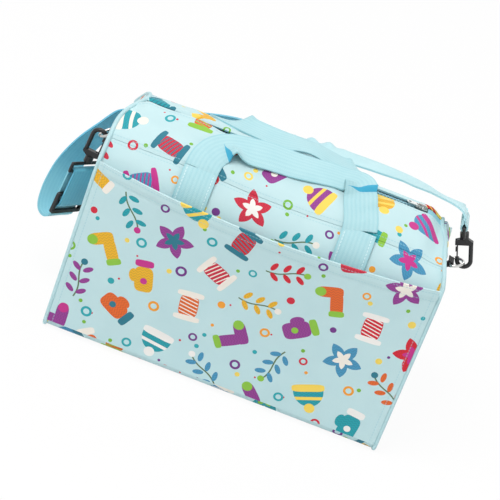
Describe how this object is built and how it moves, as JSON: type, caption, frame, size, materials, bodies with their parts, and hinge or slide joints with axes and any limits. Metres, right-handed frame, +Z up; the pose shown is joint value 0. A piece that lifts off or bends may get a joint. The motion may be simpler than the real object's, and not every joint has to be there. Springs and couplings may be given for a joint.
{
  "type": "knitting bag",
  "caption": "Soft knitting carry bag with a domed zip top, an open front pocket, webbing handles and a clip-on shoulder strap.",
  "frame": {"origin": "centre of the base panel's underside, on the surface the bag stands on", "axes": "+X to the bag's right seen from the front along its length, -Y towards the front pocket, +Z up"},
  "size_m": [0.4924, 0.2543, 0.2802],
  "materials": {
    "print": "printed woven polyester, matte",
    "lining": "plain woven lining",
    "board": "stiff sheet, matte",
    "piping": "corded binding",
    "webbing": "ribbed webbing, slight sheen",
    "strap_webbing": "ribbed webbing, slight sheen",
    "ring_tab": "folded woven tape",
    "zip_tape": "woven tape",
    "zip_teeth": "moulded coil",
    "nickel": "plated wire and castings",
    "black_plastic": "moulded, satin"
  },
  "bodies": {
    "bag": {"base_panel": "print", "base_board": "board", "front_panel": "print", "back_panel": "print", "left_side_panel": "print", "right_side_panel": "print", "lining": "lining", "front_pocket": "print", "left_piping": "piping", "right_piping": "piping", "front_handle_legs": "webbing", "rear_handle_legs": "webbing", "left_zip_end_tab": "piping", "right_zip_end_tab": "piping", "left_ring_tab": "ring_tab", "right_ring_tab": "ring_tab", "front_leaf_ends": "print", "rear_leaf_ends": "print"},
    "front_leaf": {"front_top_leaf": "print", "front_zip_tape": "zip_tape", "front_zip_teeth": "zip_teeth"},
    "rear_leaf": {"rear_top_leaf": "print", "rear_zip_tape": "zip_tape", "rear_zip_teeth": "zip_teeth"},
    "slider": {"zip_slider": "nickel"},
    "pull": {"zip_pull": "nickel"},
    "front_loop": {"front_handle": "webbing"},
    "rear_loop": {"rear_handle": "webbing"},
    "left_ring": {"left_d_ring": "nickel"},
    "right_ring": {"right_d_ring": "nickel"},
    "strap": {"shoulder_strap": "strap_webbing", "right_strap_end": "strap_webbing", "strap_return": "strap_webbing", "left_swivel_eye": "black_plastic", "right_swivel_eye": "black_plastic"},
    "adjuster": {"strap_adjuster": "black_plastic"},
    "left_snap": {"left_hook": "black_plastic"},
    "right_snap": {"right_hook": "black_plastic"},
    "left_gate": {"left_hook_gate": "black_plastic"},
    "right_gate": {"right_hook_gate": "black_plastic"}
  },
  "joints": [
    {"name": "zip_slide", "type": "slide", "parent": "bag", "child": "slider", "axis": [1, 0, 0], "range_m": [-0.3, 0]},
    {"name": "front_leaf_open", "type": "hinge", "parent": "bag", "child": "front_leaf", "pos_m": [0, -0.07431, 0.23416], "axis": [1, 0, 0], "range_deg": [0, 60], "deforming": ["front_zip_tape", "front_zip_teeth"]},
    {"name": "rear_leaf_open", "type": "hinge", "parent": "bag", "child": "rear_leaf", "pos_m": [0, 0.07431, 0.23416], "axis": [-1, 0, 0], "range_deg": [0, 45], "deforming": ["rear_zip_tape", "rear_zip_teeth"]},
    {"name": "pull_swing", "type": "hinge", "parent": "slider", "child": "pull", "pos_m": [0.15, 0, 0.25849], "axis": [0, 1, 0], "range_deg": [0, 160]},
    {"name": "front_handle_swing", "type": "hinge", "parent": "front_leaf", "child": "front_loop", "pos_m": [0, -0.07431, 0.23416], "axis": [1, 0, 0], "range_deg": [0, 60]},
    {"name": "rear_handle_swing", "type": "hinge", "parent": "rear_leaf", "child": "rear_loop", "pos_m": [0, 0.07431, 0.23416], "axis": [-1, 0, 0], "range_deg": [0, 20]},
    {"name": "right_ring_swing", "type": "hinge", "parent": "bag", "child": "right_ring", "pos_m": [0.2045, 0, 0.208], "axis": [0, -1, 0], "range_deg": [0, 14]},
    {"name": "left_ring_swing", "type": "hinge", "parent": "bag", "child": "left_ring", "pos_m": [-0.2045, 0, 0.208], "axis": [0, -1, 0], "range_deg": [0, 9]},
    {"name": "strap_swing", "type": "hinge", "parent": "bag", "child": "strap", "pos_m": [-0.21605, 0, 0.19991], "axis": [0.9996, 0, 0.0297], "range_deg": [0, 20]},
    {"name": "adjuster_slide", "type": "slide", "parent": "strap", "child": "adjuster", "axis": [0.1045, 0, 0.9945], "range_m": [0, 0.012], "deforming": ["strap_return"]},
    {"name": "right_hook_swivel", "type": "hinge", "parent": "strap", "child": "right_snap", "pos_m": [0.21775, 0, 0.21282], "axis": [-0.342, 0, 0.9397], "range_deg": [-18, 18]},
    {"name": "left_hook_swivel", "type": "hinge", "parent": "strap", "child": "left_snap", "pos_m": [-0.21605, 0, 0.19991], "axis": [-0.1045, 0, -0.9945], "range_deg": [-18, 18]},
    {"name": "right_gate_press", "type": "hinge", "parent": "right_snap", "child": "right_gate", "pos_m": [0.20219, 0, 0.23334], "axis": [0, -1, 0], "range_deg": [0, 20], "stiffness_Nm_per_rad": 0.004},
    {"name": "left_gate_press", "type": "hinge", "parent": "left_snap", "child": "left_gate", "pos_m": [-0.21106, 0, 0.17465], "axis": [0, -1, 0], "range_deg": [0, 20], "stiffness_Nm_per_rad": 0.004}
  ],
  "couplings": [
    {"joint": "front_leaf_open", "follows": "zip_slide", "rad_per_m": -3.49},
    {"joint": "rear_leaf_open", "follows": "zip_slide", "rad_per_m": -2.617}
  ]
}
